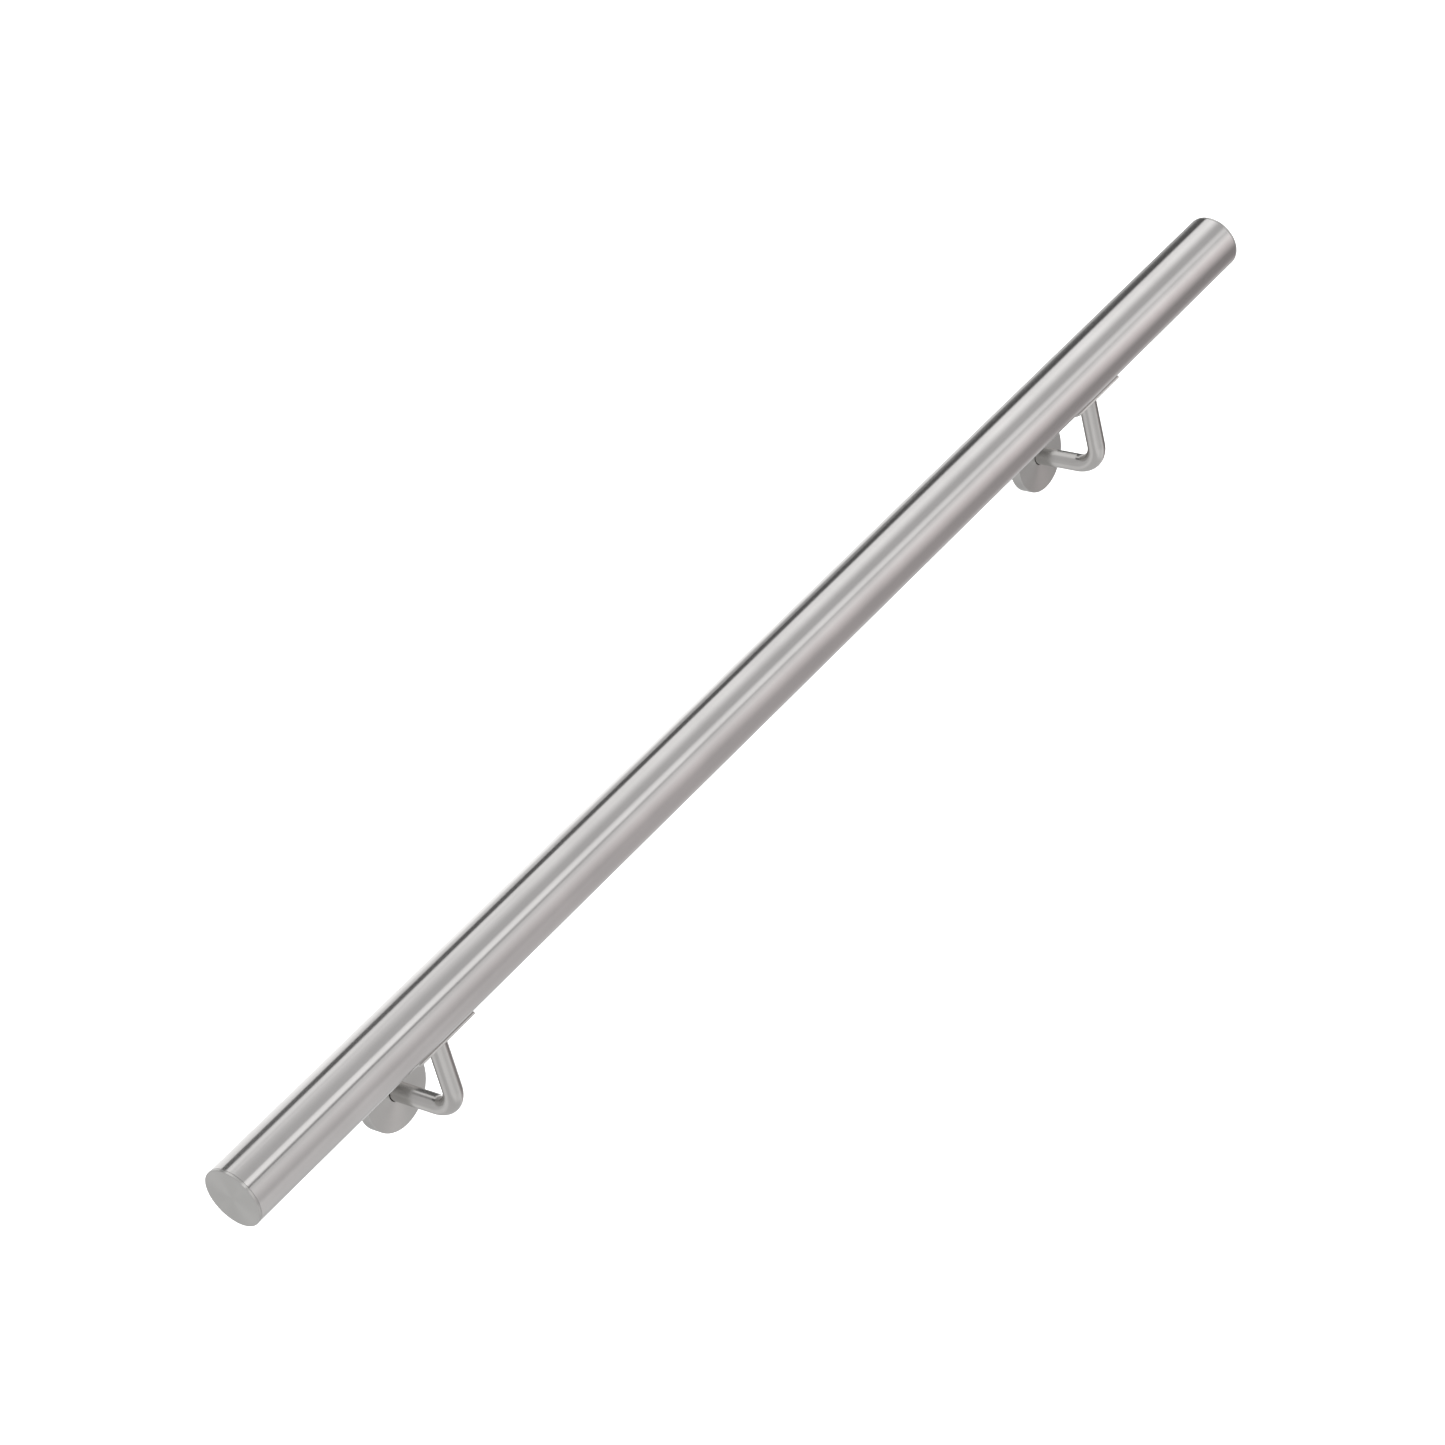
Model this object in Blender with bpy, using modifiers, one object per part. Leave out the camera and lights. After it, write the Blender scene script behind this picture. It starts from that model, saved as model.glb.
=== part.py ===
"""Straight stainless steel grab rail carried on two wall brackets.

X runs along the rail, +Y points into the wall and +Z is up. The origin lies on the wall's
face, midway between the two brackets and level with the middle of their wall plates.
"""

from math import cos, pi, radians, sin, sqrt, tau

import bmesh
import bpy
from mathutils import Matrix, Vector

# The gap that is left between two pieces that touch.
GAP = 0.0003

# Rail: a round tube with a closed plug in each end.
RAIL_LENGTH = 1.018
RAIL_RADIUS = 0.01905
RAIL_WALL = 0.0015
RAIL_RIM_CHAMFER = 0.0003

# Where the brackets stand.
BRACKET_SPACING = 0.688
WALL_DISTANCE = 0.056
ARM_DROP = 0.075

# End caps: a flange as wide as the rail, a hollow spigot, and a nylon ring in its groove.
CAP_FLANGE = 0.0015
CAP_EDGE_RADIUS = 0.0004
CAP_SPIGOT_LENGTH = 0.018
CAP_SPIGOT_SLACK = 0.0006
CAP_SPIGOT_WALL = 0.004
CAP_RING_WIDTH = 0.0056
CAP_RING_THICKNESS = 0.0013
CAP_RING_SETBACK = 0.005
CAP_LEAD_IN = 0.001

# Bracket arm: a round bar bent once through a right angle.
ARM_RADIUS = 0.006
ARM_BEND_RADIUS = 0.0175
ARM_SETBACK = 0.001

# Saddle: a curved plate between the arm and the underside of the rail.
SADDLE_LENGTH = 0.049
SADDLE_THICKNESS = 0.002
SADDLE_HALF_ANGLE = radians(32.6)
SADDLE_EDGE_RADIUS = 0.0004

# Screws that pull the saddle up against the rail, and the rivet nuts they run in.
SCREW_RADIUS = 0.0023
SCREW_LENGTH = 0.0125
SCREW_HEAD_RADIUS = 0.00475
SCREW_HEAD_HEIGHT = 0.0027
SCREW_SOCKET_RADIUS = 0.0017
SCREW_SOCKET_DEPTH = 0.0015
SCREW_HOLE_RADIUS = 0.00275
NUT_BORE_RADIUS = 0.0026
NUT_BODY_RADIUS = 0.0035
NUT_LENGTH = 0.0115
NUT_FLANGE_RADIUS = 0.0046
NUT_FLANGE_THICKNESS = 0.0007
NUT_BULGE_RADIUS = 0.0046
NUT_BULGE_LENGTH = 0.003

# Cover rose: a shallow turned cup that hides the wall plate and slides along the arm.
ROSE_RADIUS = 0.0254
ROSE_DEPTH = 0.008
ROSE_WALL = 0.0012
ROSE_EDGE_RADIUS = 0.0005
ROSE_BORE_CLEARANCE = 0.0004

# Wall plate under the rose, with a rubber ring round its rim that grips the rose.
PLATE_THICKNESS = 0.005
PLATE_RIM_CLEARANCE = 0.0012
PLATE_CHAMFER = 0.0004
PLATE_HOLES = 3
PLATE_HOLE_RADIUS = 0.00275
PLATE_SINK_RADIUS = 0.0048
PLATE_SINK_DEPTH = 0.0022
RUBBER_RING_RADIUS = 0.001

# How finely round pieces are drawn.
RAIL_STEPS = 64
TURNED_STEPS = 48
ARM_BEVEL_RESOLUTION = 10
BEND_STEPS = 8
SADDLE_STEPS = 16
SMALL_STEPS = 16
RING_SECTION_STEPS = 8
EDGE_STEPS = 3
MERGE = 0.00001
SHARP_ANGLE = radians(35)
CUTTER_REACH = 0.01

# Sizes that follow from the ones above.
RAIL_BORE_RADIUS = RAIL_RADIUS - RAIL_WALL
SADDLE_INNER_RADIUS = RAIL_RADIUS + GAP
SADDLE_OUTER_RADIUS = SADDLE_INNER_RADIUS + SADDLE_THICKNESS
SCREW_OFFSET = (ARM_RADIUS + SADDLE_LENGTH / 2) / 2
ROSE_INNER_RADIUS = ROSE_RADIUS - ROSE_WALL
PLATE_RADIUS = ROSE_INNER_RADIUS - PLATE_RIM_CLEARANCE
PLATE_BORE_RADIUS = ARM_RADIUS + GAP
RUBBER_RING_MAJOR = ROSE_INNER_RADIUS - GAP - RUBBER_RING_RADIUS
PLATE_GROOVE_RADIUS = RUBBER_RING_MAJOR - RUBBER_RING_RADIUS - GAP
PLATE_GROOVE_HALF_WIDTH = RUBBER_RING_RADIUS + GAP
PLATE_HOLE_CIRCLE = (PLATE_BORE_RADIUS + PLATE_GROOVE_RADIUS) / 2


def clear_scene():
    for obj in list(bpy.data.objects):
        bpy.data.objects.remove(obj, do_unlink=True)


def new_collection(name):
    collection = bpy.data.collections.new(name)
    bpy.context.scene.collection.children.link(collection)
    return collection


def steel(name, colour, roughness):
    return surface(name, colour, roughness, 1.0)


def surface(name, colour, roughness, metallic):
    material = bpy.data.materials.new(name)
    material.use_nodes = True
    shader = material.node_tree.nodes["Principled BSDF"]
    shader.inputs["Base Color"].default_value = (*colour, 1.0)
    shader.inputs["Roughness"].default_value = roughness
    shader.inputs["Metallic"].default_value = metallic
    return material


def add_object(name, mesh, collection, parent=None, matrix=None):
    obj = bpy.data.objects.new(name, mesh)
    collection.objects.link(obj)
    obj.parent = parent
    if matrix is not None:
        obj.matrix_local = matrix
    return obj


def add_empty(name, location):
    empty = add_object(name, None, parts)
    empty.location = location
    return empty


def add_boolean(obj, cutter):
    modifier = obj.modifiers.new(f"cut_{cutter.name}", "BOOLEAN")
    modifier.operation = "DIFFERENCE"
    modifier.object = cutter


def mesh_of(obj):
    """The object's mesh as its modifiers leave it."""
    bpy.context.view_layer.update()
    graph = bpy.context.evaluated_depsgraph_get()
    return bpy.data.meshes.new_from_object(obj.evaluated_get(graph))


def finish(obj, material):
    """Fixes the modifiers' result as the object's mesh, smooth on its round faces."""
    mesh = mesh_of(obj)
    obj.modifiers.clear()
    obj.data = mesh
    mesh.materials.clear()
    mesh.materials.append(material)
    mesh.shade_smooth()
    mesh.set_sharp_from_angle(angle=SHARP_ANGLE)
    return obj


def arc(centre_r, centre_z, radius, start, end, steps):
    """Points of a profile's rounded edge, as (distance from the axis, height) pairs."""
    angles = [start + (end - start) * i / steps for i in range(steps + 1)]
    return [(centre_r + radius * cos(a), centre_z + radius * sin(a)) for a in angles]


def add_turned(name, profile, steps, collection, parent, matrix, closed):
    """A piece turned about its local Z from (distance from the axis, height) pairs, which
    run down its outer side."""
    mesh = bpy.data.meshes.new(name)
    shape = bmesh.new()
    points = [shape.verts.new((r, 0, z)) for r, z in profile]
    for a, b in zip(points, points[1:]):
        shape.edges.new((a, b))
    if closed:
        shape.edges.new((points[-1], points[0]))
    shape.to_mesh(mesh)
    shape.free()
    obj = add_object(name, mesh, collection, parent, matrix)
    screw = obj.modifiers.new("turn", "SCREW")
    screw.angle = tau
    screw.steps = steps
    screw.render_steps = steps
    screw.use_merge_vertices = True
    screw.merge_threshold = MERGE
    screw.use_smooth_shade = True
    return obj


def add_round_cutter(name, radius, top_radius, low, high, parent, matrix):
    """A round cutter, a cylinder or a cone, that stands from low to high on its local Z."""
    mesh = bpy.data.meshes.new(name)
    shape = bmesh.new()
    bmesh.ops.create_cone(
        shape,
        cap_ends=True,
        segments=SMALL_STEPS,
        radius1=radius,
        radius2=top_radius,
        depth=high - low,
        matrix=Matrix.Translation((0, 0, (low + high) / 2)),
    )
    shape.to_mesh(mesh)
    shape.free()
    return as_cutter(add_object(name, mesh, cutters, parent, matrix))


def as_cutter(obj):
    obj.hide_render = True
    obj.display_type = "WIRE"
    return obj


def facing_along(x_sign):
    """Local +Z along the rail, towards +X or -X."""
    return Matrix.Rotation(x_sign * pi / 2, 4, "Y")


# Local +Z away from the wall.
OFF_THE_WALL = Matrix.Rotation(pi / 2, 4, "X")


def make_rail(axis):
    half = RAIL_LENGTH / 2
    chamfer = RAIL_RIM_CHAMFER
    profile = [
        (RAIL_BORE_RADIUS, half),
        (RAIL_RADIUS - chamfer, half),
        (RAIL_RADIUS, half - chamfer),
        (RAIL_RADIUS, -half + chamfer),
        (RAIL_RADIUS - chamfer, -half),
        (RAIL_BORE_RADIUS, -half),
    ]
    tube = add_turned("rail_tube", profile, RAIL_STEPS, parts, axis, facing_along(1), True)
    for side in (-1, 1):
        for place in (-1, 1):
            x = side * BRACKET_SPACING / 2 + place * SCREW_OFFSET
            add_boolean(tube, add_nut_hole_cutter(f"nut_hole_{side}_{place}", axis, x))
    return finish(tube, rail_steel)


def add_nut_hole_cutter(name, axis, x):
    matrix = Matrix.Translation((x, 0, 0))
    radius = NUT_BODY_RADIUS + GAP
    low = -RAIL_RADIUS - CUTTER_REACH
    return add_round_cutter(name, radius, radius, low, low / 2, axis, matrix)


def cap_matrix(x_sign):
    """Local origin where the flange meets the rail's end, +Z outwards."""
    return Matrix.Translation((x_sign * (RAIL_LENGTH / 2 + GAP), 0, 0)) @ facing_along(x_sign)


def make_end_cap(name, axis, x_sign):
    spigot = RAIL_BORE_RADIUS - CAP_SPIGOT_SLACK
    ring_outer = RAIL_BORE_RADIUS - GAP
    groove = ring_outer - CAP_RING_THICKNESS - GAP
    groove_top = -CAP_RING_SETBACK + GAP
    groove_low = -CAP_RING_SETBACK - CAP_RING_WIDTH - GAP
    edge = CAP_EDGE_RADIUS
    hollow = spigot - CAP_SPIGOT_WALL
    profile = [(0, CAP_FLANGE)]
    profile += arc(RAIL_RADIUS - edge, CAP_FLANGE - edge, edge, pi / 2, 0, EDGE_STEPS)
    profile += [
        (RAIL_RADIUS, 0),
        (spigot, 0),
        (spigot, groove_top),
        (groove, groove_top),
        (groove, groove_low),
        (spigot, groove_low),
        (spigot, -CAP_SPIGOT_LENGTH + CAP_LEAD_IN),
        (spigot - CAP_LEAD_IN, -CAP_SPIGOT_LENGTH),
        (hollow, -CAP_SPIGOT_LENGTH),
        (hollow, 0),
        (0, 0),
    ]
    matrix = cap_matrix(x_sign)
    cap = add_turned(name, profile, TURNED_STEPS, parts, axis, matrix, False)
    return finish(cap, cap_steel)


def make_cap_ring(name, axis, x_sign):
    outer = RAIL_BORE_RADIUS - GAP
    inner = outer - CAP_RING_THICKNESS
    high = -CAP_RING_SETBACK
    low = high - CAP_RING_WIDTH
    profile = [(inner, high), (outer, high), (outer, low), (inner, low)]
    matrix = cap_matrix(x_sign)
    ring = add_turned(name, profile, TURNED_STEPS, parts, axis, matrix, True)
    return finish(ring, nylon)


def arm_route():
    """The bar's centre line, from inside the rail down, round the bend and into the wall
    plate."""
    centre = Vector((0, ARM_BEND_RADIUS - WALL_DISTANCE, ARM_BEND_RADIUS))
    route = [Vector((0, -WALL_DISTANCE, ARM_DROP - RAIL_RADIUS))]
    for i in range(BEND_STEPS + 1):
        turn = pi / 2 * i / BEND_STEPS
        route.append(centre - ARM_BEND_RADIUS * Vector((0, cos(turn), sin(turn))))
    route.append(Vector((0, -ARM_SETBACK, 0)))
    return route


def make_arm(name, bracket):
    curve = bpy.data.curves.new(name, "CURVE")
    curve.dimensions = "3D"
    curve.bevel_depth = ARM_RADIUS
    curve.bevel_resolution = ARM_BEVEL_RESOLUTION
    curve.use_fill_caps = True
    spline = curve.splines.new("POLY")
    route = arm_route()
    spline.points.add(len(route) - 1)
    for point, place in zip(spline.points, route):
        point.co = (*place, 1)
    guide = add_object(f"{name}_guide", curve, parts, bracket)
    mesh = mesh_of(guide)
    bpy.data.objects.remove(guide, do_unlink=True)
    shape = bmesh.new()
    shape.from_mesh(mesh)
    bmesh.ops.remove_doubles(shape, verts=shape.verts, dist=MERGE)
    bmesh.ops.recalc_face_normals(shape, faces=shape.faces)
    shape.to_mesh(mesh)
    shape.free()
    arm = add_object(name, mesh, parts, bracket)
    add_boolean(arm, add_saddle_seat_cutter(f"{name}_seat", bracket))
    return finish(arm, bracket_steel)


def add_saddle_seat_cutter(name, bracket):
    """A bar as thick as the saddle's outside, which shapes the top of the arm to it."""
    mesh = bpy.data.meshes.new(name)
    shape = bmesh.new()
    bmesh.ops.create_cone(
        shape,
        cap_ends=True,
        segments=2 * RAIL_STEPS,
        radius1=SADDLE_OUTER_RADIUS + GAP,
        radius2=SADDLE_OUTER_RADIUS + GAP,
        depth=SADDLE_LENGTH,
        matrix=facing_along(1),
    )
    shape.to_mesh(mesh)
    shape.free()
    matrix = Matrix.Translation((0, -WALL_DISTANCE, ARM_DROP))
    return as_cutter(add_object(name, mesh, cutters, bracket, matrix))


def make_saddle(name, bracket):
    mesh = bpy.data.meshes.new(name)
    shape = bmesh.new()
    half = SADDLE_LENGTH / 2
    start = Matrix.Rotation(-SADDLE_HALF_ANGLE, 3, "X") @ Vector((0, 0, -SADDLE_INNER_RADIUS))
    ends = [shape.verts.new(start + Vector((x, 0, 0))) for x in (-half, half)]
    edge = shape.edges.new(ends)
    bmesh.ops.spin(
        shape,
        geom=[*ends, edge],
        cent=(0, 0, 0),
        axis=(1, 0, 0),
        angle=2 * SADDLE_HALF_ANGLE,
        steps=SADDLE_STEPS,
    )
    bmesh.ops.recalc_face_normals(shape, faces=shape.faces)
    if shape.faces[:][0].normal.z > 0:
        bmesh.ops.reverse_faces(shape, faces=shape.faces)
    shape.to_mesh(mesh)
    shape.free()
    matrix = Matrix.Translation((0, -WALL_DISTANCE, ARM_DROP))
    saddle = add_object(name, mesh, parts, bracket, matrix)
    shell = saddle.modifiers.new("thickness", "SOLIDIFY")
    shell.thickness = SADDLE_THICKNESS
    shell.offset = 1
    shell.use_even_offset = True
    edges = saddle.modifiers.new("edges", "BEVEL")
    edges.width = SADDLE_EDGE_RADIUS
    edges.segments = 2
    edges.limit_method = "ANGLE"
    edges.angle_limit = radians(60)
    flange_seat = -RAIL_RADIUS - GAP - NUT_FLANGE_THICKNESS - GAP
    for place in (-1, 1):
        at_screw = matrix @ Matrix.Translation((place * SCREW_OFFSET, 0, 0))
        hole = add_round_cutter(
            f"{name}_hole_{place}",
            SCREW_HOLE_RADIUS,
            SCREW_HOLE_RADIUS,
            -SADDLE_OUTER_RADIUS - CUTTER_REACH,
            0,
            bracket,
            at_screw,
        )
        recess = add_round_cutter(
            f"{name}_recess_{place}",
            NUT_FLANGE_RADIUS + GAP,
            NUT_FLANGE_RADIUS + GAP,
            flange_seat,
            0,
            bracket,
            at_screw,
        )
        add_boolean(saddle, hole)
        add_boolean(saddle, recess)
    return finish(saddle, bracket_steel)


def under_rail(place):
    """Local origin on the lowest line of the rail at one of a saddle's screws."""
    low = ARM_DROP - RAIL_RADIUS
    return Matrix.Translation((place * SCREW_OFFSET, -WALL_DISTANCE, low))


def make_screw(name, bracket, place):
    seat = -(SADDLE_OUTER_RADIUS - RAIL_RADIUS) - GAP
    face = seat - SCREW_HEAD_HEIGHT
    dome = SCREW_HEAD_HEIGHT * 0.6
    flat = SCREW_HEAD_RADIUS - dome
    profile = [
        (0, seat + SCREW_LENGTH),
        (SCREW_RADIUS, seat + SCREW_LENGTH),
        (SCREW_RADIUS, seat),
        (SCREW_HEAD_RADIUS, seat),
    ]
    profile += arc(flat, face + dome, dome, 0, -pi / 2, EDGE_STEPS)
    profile.append((0, face))
    matrix = under_rail(place)
    screw = add_turned(name, profile, SMALL_STEPS, parts, bracket, matrix, False)
    mesh = bpy.data.meshes.new(f"{name}_socket")
    shape = bmesh.new()
    bmesh.ops.create_cone(
        shape,
        cap_ends=True,
        segments=6,
        radius1=SCREW_SOCKET_RADIUS,
        radius2=SCREW_SOCKET_RADIUS,
        depth=2 * SCREW_SOCKET_DEPTH,
        matrix=Matrix.Translation((0, 0, face)),
    )
    shape.to_mesh(mesh)
    shape.free()
    add_boolean(screw, as_cutter(add_object(f"{name}_socket", mesh, cutters, bracket, matrix)))
    return finish(screw, fastener_steel)


def make_rivet_nut(name, bracket, place):
    inner_fall = sqrt(RAIL_BORE_RADIUS**2 - NUT_BULGE_RADIUS**2)
    bulge_low = RAIL_RADIUS - inner_fall + GAP
    bulge_high = bulge_low + NUT_BULGE_LENGTH
    ease = (NUT_BULGE_RADIUS - NUT_BODY_RADIUS) / 2
    flange_low = -GAP - NUT_FLANGE_THICKNESS
    profile = [
        (NUT_BORE_RADIUS, NUT_LENGTH),
        (NUT_BODY_RADIUS, NUT_LENGTH),
        (NUT_BODY_RADIUS, bulge_high),
        (NUT_BULGE_RADIUS, bulge_high - ease),
        (NUT_BULGE_RADIUS, bulge_low),
        (NUT_BODY_RADIUS, bulge_low),
        (NUT_BODY_RADIUS, -GAP),
        (NUT_FLANGE_RADIUS, -GAP),
        (NUT_FLANGE_RADIUS, flange_low),
        (NUT_BORE_RADIUS, flange_low),
    ]
    matrix = under_rail(place)
    nut = add_turned(name, profile, SMALL_STEPS, parts, bracket, matrix, True)
    return finish(nut, nut_steel)


def make_wall_plate(name, bracket):
    middle = PLATE_THICKNESS / 2
    chamfer = PLATE_CHAMFER
    profile = [
        (PLATE_BORE_RADIUS, PLATE_THICKNESS),
        (PLATE_RADIUS - chamfer, PLATE_THICKNESS),
        (PLATE_RADIUS, PLATE_THICKNESS - chamfer),
        (PLATE_RADIUS, middle + PLATE_GROOVE_HALF_WIDTH),
        (PLATE_GROOVE_RADIUS, middle + PLATE_GROOVE_HALF_WIDTH),
        (PLATE_GROOVE_RADIUS, middle - PLATE_GROOVE_HALF_WIDTH),
        (PLATE_RADIUS, middle - PLATE_GROOVE_HALF_WIDTH),
        (PLATE_RADIUS, 0),
        (PLATE_BORE_RADIUS, 0),
    ]
    plate = add_turned(name, profile, TURNED_STEPS, parts, bracket, OFF_THE_WALL, True)
    sink_low = PLATE_THICKNESS - PLATE_SINK_DEPTH
    slope = (PLATE_SINK_RADIUS - PLATE_HOLE_RADIUS) / PLATE_SINK_DEPTH
    for i in range(PLATE_HOLES):
        turn = pi / 2 + tau * i / PLATE_HOLES
        offset = PLATE_HOLE_CIRCLE * Vector((cos(turn), sin(turn), 0))
        at_hole = OFF_THE_WALL @ Matrix.Translation(offset)
        hole = add_round_cutter(
            f"{name}_hole_{i}",
            PLATE_HOLE_RADIUS,
            PLATE_HOLE_RADIUS,
            -CUTTER_REACH,
            PLATE_THICKNESS + CUTTER_REACH,
            bracket,
            at_hole,
        )
        sink = add_round_cutter(
            f"{name}_sink_{i}",
            PLATE_HOLE_RADIUS,
            PLATE_SINK_RADIUS + slope * PLATE_SINK_DEPTH,
            sink_low,
            sink_low + 2 * PLATE_SINK_DEPTH,
            bracket,
            at_hole,
        )
        add_boolean(plate, hole)
        add_boolean(plate, sink)
    return finish(plate, plate_steel)


def make_rubber_ring(name, bracket):
    middle = PLATE_THICKNESS / 2
    profile = arc(RUBBER_RING_MAJOR, middle, RUBBER_RING_RADIUS, pi, -pi, RING_SECTION_STEPS)
    ring = add_turned(name, profile[:-1], TURNED_STEPS, parts, bracket, OFF_THE_WALL, True)
    return finish(ring, rubber)


def make_cover_rose(name, bracket):
    bore = ARM_RADIUS + ROSE_BORE_CLEARANCE
    edge = ROSE_EDGE_RADIUS
    profile = [(bore, ROSE_DEPTH)]
    profile += arc(ROSE_RADIUS - edge, ROSE_DEPTH - edge, edge, pi / 2, 0, EDGE_STEPS)
    profile += [
        (ROSE_RADIUS, GAP),
        (ROSE_INNER_RADIUS, GAP),
        (ROSE_INNER_RADIUS, ROSE_DEPTH - ROSE_WALL),
        (bore, ROSE_DEPTH - ROSE_WALL),
    ]
    rose = add_turned(name, profile, TURNED_STEPS, parts, bracket, OFF_THE_WALL, True)
    return finish(rose, rose_steel)


def make_bracket(side, x_sign):
    """One wall bracket with the screws and nuts that hold it to the rail."""
    bracket = add_empty(f"{side}_bracket", (x_sign * BRACKET_SPACING / 2, 0, 0))
    make_arm(f"{side}_arm", bracket)
    make_saddle(f"{side}_saddle", bracket)
    make_wall_plate(f"{side}_wall_plate", bracket)
    make_rubber_ring(f"{side}_rubber_ring", bracket)
    make_cover_rose(f"{side}_cover_rose", bracket)
    for end, place in (("outer", x_sign), ("inner", -x_sign)):
        make_screw(f"{side}_{end}_screw", bracket, place)
        make_rivet_nut(f"{side}_{end}_rivet_nut", bracket, place)


clear_scene()
parts = new_collection("grab_rail")
cutters = new_collection("cutters")
cutters.hide_render = True

rail_steel = steel("rail_steel", (0.62, 0.61, 0.60), 0.24)
cap_steel = steel("cap_steel", (0.55, 0.55, 0.54), 0.38)
bracket_steel = steel("bracket_steel", (0.60, 0.59, 0.58), 0.28)
rose_steel = steel("rose_steel", (0.56, 0.56, 0.55), 0.34)
plate_steel = steel("plate_steel", (0.50, 0.50, 0.49), 0.45)
fastener_steel = steel("fastener_steel", (0.52, 0.52, 0.51), 0.30)
nut_steel = steel("nut_steel", (0.58, 0.56, 0.50), 0.40)
nylon = surface("nylon", (0.03, 0.03, 0.03), 0.5, 0.0)
rubber = surface("rubber", (0.012, 0.012, 0.012), 0.7, 0.0)

rail_axis = add_empty("rail_axis", (0, -WALL_DISTANCE, ARM_DROP))
make_rail(rail_axis)
for side_name, sign in (("left", -1), ("right", 1)):
    make_end_cap(f"{side_name}_end_cap", rail_axis, sign)
    make_cap_ring(f"{side_name}_cap_ring", rail_axis, sign)
    make_bracket(side_name, sign)
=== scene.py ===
"""How the straight stainless steel grab rail looks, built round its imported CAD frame.

X runs along the rail, +Y points into the wall and +Z is up. All lengths are in metres.
"""

from math import cos, pi, radians, sin, sqrt, tau

import bmesh
import bpy
from mathutils import Matrix, Vector


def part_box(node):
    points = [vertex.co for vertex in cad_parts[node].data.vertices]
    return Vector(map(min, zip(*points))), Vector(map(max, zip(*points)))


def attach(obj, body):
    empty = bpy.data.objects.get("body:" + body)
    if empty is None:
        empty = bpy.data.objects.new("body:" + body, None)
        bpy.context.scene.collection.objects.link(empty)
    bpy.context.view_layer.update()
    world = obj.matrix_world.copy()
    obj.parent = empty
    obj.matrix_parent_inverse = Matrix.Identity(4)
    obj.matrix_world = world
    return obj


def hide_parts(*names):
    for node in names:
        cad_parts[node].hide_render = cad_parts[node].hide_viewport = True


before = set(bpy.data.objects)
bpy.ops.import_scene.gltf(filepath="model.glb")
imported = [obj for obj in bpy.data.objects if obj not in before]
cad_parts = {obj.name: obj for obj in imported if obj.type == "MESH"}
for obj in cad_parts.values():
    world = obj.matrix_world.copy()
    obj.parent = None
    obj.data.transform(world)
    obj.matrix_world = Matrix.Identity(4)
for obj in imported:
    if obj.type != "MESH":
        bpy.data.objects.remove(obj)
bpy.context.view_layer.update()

# The gap that the CAD leaves between two pieces that touch.
GAP = 0.0003

# Sizes read from the CAD frame.
tube_low, tube_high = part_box("rail_tube")
RAIL_RADIUS = (tube_high.z - tube_low.z) / 2
RAIL_HALF = tube_high.x
RAIL_Y = (tube_low.y + tube_high.y) / 2
RAIL_Z = (tube_low.z + tube_high.z) / 2
rose_low, rose_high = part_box("right_cover_rose")
ROSE_RADIUS = (rose_high.z - rose_low.z) / 2
ROSE_DEPTH = -rose_low.y
BRACKET_X = (rose_low.x + rose_high.x) / 2
arm_low, arm_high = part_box("right_arm")
ARM_RADIUS = (arm_high.x - arm_low.x) / 2
ARM_END = arm_high.y
saddle_low, saddle_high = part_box("right_saddle")
SADDLE_HALF = (saddle_high.x - saddle_low.x) / 2
SADDLE_OUTER_RADIUS = RAIL_Z - saddle_low.z
plate_low, plate_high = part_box("right_wall_plate")
PLATE_RADIUS = (plate_high.z - plate_low.z) / 2
PLATE_THICKNESS = -plate_low.y

# Sizes that the CAD source names, and that a box can't give.
RAIL_WALL = 0.0015
RAIL_RIM = 0.0002
CAP_FLANGE = 0.0015
CAP_EDGE = 0.0004
CAP_SEAT = 0.0002
CAP_BACK_CHAMFER = 0.0001
CAP_SPIGOT_CHAMFER = 0.001
CAP_SPIGOT_LENGTH = 0.018
CAP_SPIGOT_SLACK = 0.0006
CAP_SPIGOT_WALL = 0.004
CAP_RING_WIDTH = 0.0056
CAP_RING_THICKNESS = 0.0013
CAP_RING_SETBACK = 0.005
BEND_RADIUS = 0.0175
ARM_ROOT = 0.0005
SADDLE_THICKNESS = 0.002
SADDLE_ANGLE = radians(32.6)
SADDLE_CORNER = 0.0015
SADDLE_EDGE = 0.0004
SADDLE_INNER_EDGE = 0.0012
SCREW_OFFSET = (ARM_RADIUS + SADDLE_HALF) / 2
SCREW_RADIUS = 0.0023
SCREW_LENGTH = 0.0125
SCREW_HEAD_RADIUS = 0.00475
SCREW_HEAD_HEIGHT = 0.0027
SCREW_HEAD_DOME = SCREW_HEAD_HEIGHT * 0.6
SCREW_SOCKET_RADIUS = 0.0017
SCREW_SOCKET_DEPTH = 0.0015
SCREW_HOLE_RADIUS = 0.00275
THREAD_PITCH = 0.0008
THREAD_DEPTH = 0.0003
NUT_BODY_RADIUS = 0.0035
NUT_FLANGE_RADIUS = 0.0046
NUT_FLANGE_THICKNESS = 0.0007
ROSE_WALL = 0.0012
ROSE_EDGE = 0.0005
ROSE_CHAMFER = 0.0002
ROSE_SLACK = 0.0004
ROSE_BORE = ARM_RADIUS + ROSE_SLACK
PLATE_BORE = ARM_RADIUS + GAP
PLATE_EDGE = 0.0004
PLATE_HOLE_RADIUS = 0.00275
PLATE_SINK_RADIUS = 0.0048
PLATE_SINK_DEPTH = 0.0022
RUBBER_RADIUS = 0.001
RUBBER_MAJOR = ROSE_RADIUS - ROSE_WALL - GAP - RUBBER_RADIUS
GROOVE_RADIUS = RUBBER_MAJOR - RUBBER_RADIUS - GAP
GROOVE_HALF = RUBBER_RADIUS + GAP
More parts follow.
